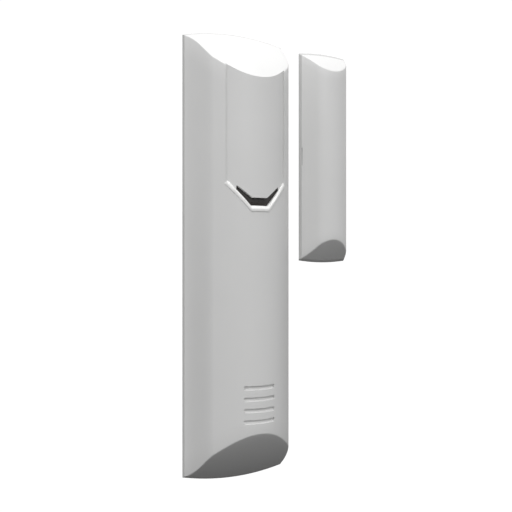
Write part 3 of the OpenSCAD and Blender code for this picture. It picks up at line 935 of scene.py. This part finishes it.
lead_low, lead_high = box_of("battery_lead")
lead_thick, lead_bend, core_thick = 1.2 * MM, 1.2 * MM, 0.8 * MM
lead_x = lead_high.x - lead_thick / 2
lead_y = lead_high.y - lead_thick / 2
lead_top = lead_high.z - lead_thick / 2
lead_foot = lead_low.z + lead_thick / 2
corner = arc((lead_x - lead_bend, lead_y, lead_foot + lead_bend), (0, 0, -lead_bend),
             (lead_bend, 0, 0), 0, 0.25, 10)
upper = arc((lead_x, lead_y - lead_bend, lead_top - lead_bend), (0, lead_bend, 0),
            (0, 0, lead_bend), 0, 0.25, 10)
lead_start = Vector((lead_low.x + 0.3 * MM, lead_y, lead_foot))
at_board = Vector((lead_x, board_high.y, lead_top))
lead = wire("lead_tube", [lead_start, *corner, *upper, at_board], lead_thick / 2, 6)
painted(lead, vinyl, "sensor", "lead_insulation", "battery_lead")
core_tip = Vector((lead_x, board_face - 0.5 * MM, lead_top))
core = wire("lead_core", [at_board, core_tip], core_thick / 2, 5)
painted(core, tin, "sensor", "tinned_metal")

# %% [markdown]
# The chips come next. The controller is a block of black resin with eight gull-wing legs on
# each side. One leg is a strip of three faces, extruded edge by edge and thickened, and the
# rest are copies, each with its own mesh, turned and placed round the body.


# %% Legs
def gull_leg(name, reach, height, width):
    """Leg that starts at the origin at the height, steps down and out along X."""
    only(camera)
    bpy.ops.mesh.primitive_plane_add(size=1)
    leg = bpy.context.object
    leg.name = name
    edit(leg)
    bpy.ops.transform.resize(value=(reach * 0.3, width, 1))
    bpy.ops.transform.translate(value=(reach * 0.15, 0, height))
    far = reach * 0.3
    for value in ((reach * 0.2, 0, 0.06 * MM - height), (reach * 0.5, 0, 0)):
        pick(leg, lambda co: co.x > far - 0.01 * MM)
        bpy.ops.mesh.extrude_region_move(TRANSFORM_OT_translate={"value": value})
        far += value[0]
    leave()
    apply_modifier(leg, "SOLIDIFY", thickness=0.12 * MM, offset=0)
    return leg


def stand_leg(leg, name, x, z, turn):
    """Copies the leg onto the board: X turns with the side, the height points out."""
    copy = leg.copy()
    copy.data = leg.data.copy()
    copy.name = name
    bpy.context.scene.collection.objects.link(copy)
    copy.rotation_euler = (math.radians(90), math.radians(turn), 0)
    copy.location = (x, board_face, z)
    settle(copy)
    return copy


def row_of_legs(name, low, high, count, reach, height, width, sides, pitch):
    leg = gull_leg(name + "_leg", reach, height, width)
    middle = (low + high) / 2
    legs = []
    for side in sides:
        direction = Vector((math.cos(math.radians(side)), -math.sin(math.radians(side))))
        edge = (high.x - low.x) / 2 if abs(direction.x) > 0.5 else (high.z - low.z) / 2
        for i in range(count):
            along = (i - (count - 1) / 2) * pitch
            x = middle.x + direction.x * (edge - 0.02 * MM) - direction.y * along
            z = middle.z + direction.y * (edge - 0.02 * MM) + direction.x * along
            legs.append(stand_leg(leg, name, x, z, side))
    bpy.data.objects.remove(leg)
    return join(name, *legs)


mcu_low, mcu_high = box_of("microcontroller")
rounded("microcontroller", "sensor", "black_resin", black_resin, 0.06)
painted(row_of_legs("controller_legs", mcu_low, mcu_high, 8, 0.85 * MM, 0.5 * MM, 0.3 * MM,
                    (0, 90, 180, 270), 0.75 * MM), tin, "sensor", "tinned_metal")

# %% [markdown]
# Chip capacitors and resistors are bricks whose ends are dipped in tin. The frame's node holds
# them all at once, so a copy is taken apart with Separate by loose parts, and each loose part
# only tells where a brick lies. A brick is then a body with a slightly bigger cap at each end.


# %% Chip bricks
def chip_bricks(node, name, body_material, body_slot):
    pattern = copy_of(node, node + "_pattern")
    edit(pattern)
    bpy.ops.mesh.separate(type="LOOSE")
    leave()
    parts = list(bpy.context.selected_objects)
    bodies, caps = [], []
    for part in parts:
        places = [part.matrix_world @ point.co for point in part.data.vertices]
        low = Vector([min(place[i] for place in places) for i in range(3)])
        high = Vector([max(place[i] for place in places) for i in range(3)])
        long_way = 0 if high.x - low.x > high.z - low.z else 2
        cap_size = (high[long_way] - low[long_way]) * 0.22
        skin_in = Vector((0.03, 0, 0.03)) * MM
        skin_in[long_way] = cap_size * 0.5
        bodies.append(box(low + skin_in + Vector((0, 0.03 * MM, 0)), high - skin_in, 0.03))
        for end in (0, 1):
            cap_low, cap_high = low.copy(), high.copy()
            if end:
                cap_low[long_way] = high[long_way] - cap_size
            else:
                cap_high[long_way] = low[long_way] + cap_size
            caps.append(box(cap_low, cap_high, 0.05))
    for part in parts:
        bpy.data.objects.remove(part)
    painted(join(name + "_bodies", *bodies), body_material, "sensor", body_slot, node)
    painted(join(name + "_ends", *caps), tin, "sensor", "tinned_metal")


chip_bricks("chip_capacitors", "capacitor", ceramic, "tan_ceramic")
chip_bricks("chip_resistors", "resistor", black_resin, "black_resin")

# %% [markdown]
# Both switches are the same sort: a square black body with a step, two pairs of legs, and a
# rivet near each corner. The rivets are flattened half balls.

# %% Switch bodies
for node, slot_name in (("tamper_body", "tamper"), ("button_body", "button")):
    low, high = box_of(node)
    rounded(node, "sensor", "black_resin", black_resin, 0.12)
    painted(row_of_legs(slot_name + "_legs", low, high, 2, 1.1 * MM, 0.8 * MM, 0.7 * MM,
                        (0, 180), 4.2 * MM), tin, "sensor", "tinned_metal")
    rivets = []
    for x in (low.x + 0.85 * MM, high.x - 0.85 * MM):
        for z in (low.z + 0.85 * MM, high.z - 0.85 * MM):
            only(camera)
            bpy.ops.mesh.primitive_uv_sphere_add(segments=24, ring_count=12, radius=0.38 * MM,
                                                 location=(x, low.y, z), scale=(1, 0.5, 1))
            rivets.append(bpy.context.object)
            settle(rivets[-1])
    painted(join(slot_name + "_rivets", *rivets), black_resin, "sensor", "black_resin")

# %% [markdown]
# Solder makes a shiny little hill wherever a wire comes through the board, and each screw
# stands on a gold-plated ring. The hills are low cones with their tips rounded.

# %% Solder and pads
reed_low, reed_high = box_of("reed_blades")
reed_x = (reed_low.x + reed_high.x) / 2
half_wire = 0.25 * MM
solder_places = [(lead_x, lead_top), (aerial_foot.x, aerial_foot.z),
                 (reed_x, reed_low.z + half_wire), (reed_x, reed_high.z - half_wire)]
screw_places = [(7.4 * MM, 3 * MM), (0, 48.6 * MM)]
hill_line = ((1.05, 0), (0.95, 0.06), (0.7, 0.22), (0.5, 0.5), (0.3, 0.62), (0, 0.66))
ring_line = ((1.3, 0.03), (2.6, 0.03), (2.65, 0))


def spun_on_board(name, line, places, steps):
    """Spins a line of (radius, height) in millimetres, and stands it on the board at each place."""
    pieces = []
    for x, z in places:
        piece = lathe(name, [(radius * MM, height * MM) for radius, height in line], 0, 0, steps)
        piece.rotation_euler = (math.radians(90), 0, 0)
        piece.location = (x, board_face, z)
        settle(piece)
        pieces.append(piece)
    return join(name, *pieces)


painted(spun_on_board("solder_hills", hill_line, solder_places, 32), tin, "sensor", "tinned_metal")
painted(spun_on_board("screw_rings", ring_line, screw_places, 48), gold, "sensor", "contact_metal")

# %% [markdown]
# The reed switch is a sealed glass tube with a blade reaching in from each end. The tube's
# wall is drawn once, outside and inside, and spun about the switch's long axis. The blades
# keep their frame shape and only get a material.

# %% Reed switch
glass_low, glass_high = box_of("reed_glass")
glass_y, glass_round = (glass_low.y + glass_high.y) / 2, (glass_high.x - glass_low.x) / 2
neck, glass_wall = 0.28 * MM, 0.4 * MM


def ball_end(radius, height, sign, first, last, steps=8):
    """Section points of a round end, between two angles measured from the axis."""
    points = []
    for step in range(steps + 1):
        turn = first + (last - first) * step / steps
        points.append((max(neck, radius * math.sin(turn)), height + sign * radius * math.cos(turn)))
    return points


quarter = math.radians(90)
low_mid, high_mid = glass_low.z + glass_round, glass_high.z - glass_round
inner_round = glass_round - glass_wall
outer_start, inner_start = 0.23, 0.35
tube = (ball_end(glass_round, low_mid, -1, outer_start, quarter)
        + ball_end(glass_round, high_mid, 1, quarter, outer_start)
        + ball_end(inner_round, high_mid, 1, inner_start, quarter)
        + ball_end(inner_round, low_mid, -1, quarter, inner_start))
painted(lathe("reed_tube", tube + tube[:1], reed_x, glass_y, 48), reed_green, "sensor",
        "reed_glass", "reed_glass")
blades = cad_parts["reed_blades"]
blades.data.materials.clear()
blades.data.materials.append(tin)

# %% [markdown]
# The set is plain: a pale floor well below the case, and light that is strong from above, even
# from the front and weak from below. The world gives the even part. Its colour follows the
# direction's height, and what the camera itself sees is plain white.

# %% Floor
def white_to_camera(tree, surface, glow_kind, output):
    """Shows plain white to the camera, while light still meets the real surface."""
    glow = tree.nodes.new(glow_kind)
    glow.inputs["Color"].default_value = (1, 1, 1, 1)
    glow.inputs["Strength"].default_value = 1.05
    seen = tree.nodes.new("ShaderNodeLightPath")
    chooser = tree.nodes.new("ShaderNodeMixShader")
    tree.links.new(seen.outputs["Is Camera Ray"], chooser.inputs["Fac"])
    tree.links.new(surface, chooser.inputs[1])
    tree.links.new(glow.outputs[0], chooser.inputs[2])
    tree.links.new(chooser.outputs["Shader"], tree.nodes[output].inputs["Surface"])


only(camera)
bpy.ops.mesh.primitive_plane_add(size=12, location=(0, 0, -0.35))
floor = bpy.context.object
floor.name = "floor"
floor_paint, tree, shader, place = new_material("floor_paint")
shader.inputs["Base Color"].default_value = (0.06, 0.06, 0.06, 1)
shader.inputs["Roughness"].default_value = 0.9
white_to_camera(tree, shader.outputs["BSDF"], "ShaderNodeEmission", "Material Output")
floor.data.materials.append(floor_paint)

# %% World light
world = bpy.data.worlds.new("studio")
bpy.context.scene.world = world
world.use_nodes = True
tree = world.node_tree
sky = tree.nodes["Background"]
place = tree.nodes.new("ShaderNodeTexCoord")
split = tree.nodes.new("ShaderNodeSeparateXYZ")
tree.links.new(place.outputs["Generated"], split.inputs["Vector"])
rise = tree.nodes.new("ShaderNodeMapRange")
rise.inputs["From Min"].default_value = -1
tree.links.new(split.outputs["Z"], rise.inputs["Value"])
sky_colour = ramp(tree, rise.outputs["Result"], [(0.4, (0.08, 0.08, 0.08)), (0.5, (0.45, 0.45, 0.45)),
                                                 (0.6, (0.84, 0.84, 0.84)), (1.0, (0.84, 0.84, 0.84))])
tree.links.new(sky_colour, sky.inputs["Color"])
sky.inputs["Strength"].default_value = 1.0
white_to_camera(tree, sky.outputs["Background"], "ShaderNodeBackground", "World Output")
bpy.context.scene.view_settings.view_transform = "Standard"


# %% Lamps
def panel_light(name, place, target, size, power):
    light = bpy.data.lights.new(name, "AREA")
    light.shape = "DISK"
    light.size = size
    light.energy = power
    lamp = bpy.data.objects.new(name, light)
    bpy.context.scene.collection.objects.link(lamp)
    lamp.location = place
    aim = Vector(target) - Vector(place)
    lamp.rotation_euler = aim.to_track_quat("-Z", "Y").to_euler()
    return lamp


panel_light("top_light", (0, -0.1, 1.0), (0, 0, 0), 0.5, 3.0)
panel_light("front_light", (-0.33, -0.78, 0.85), (0, 0, 0), 0.5, 4.2)
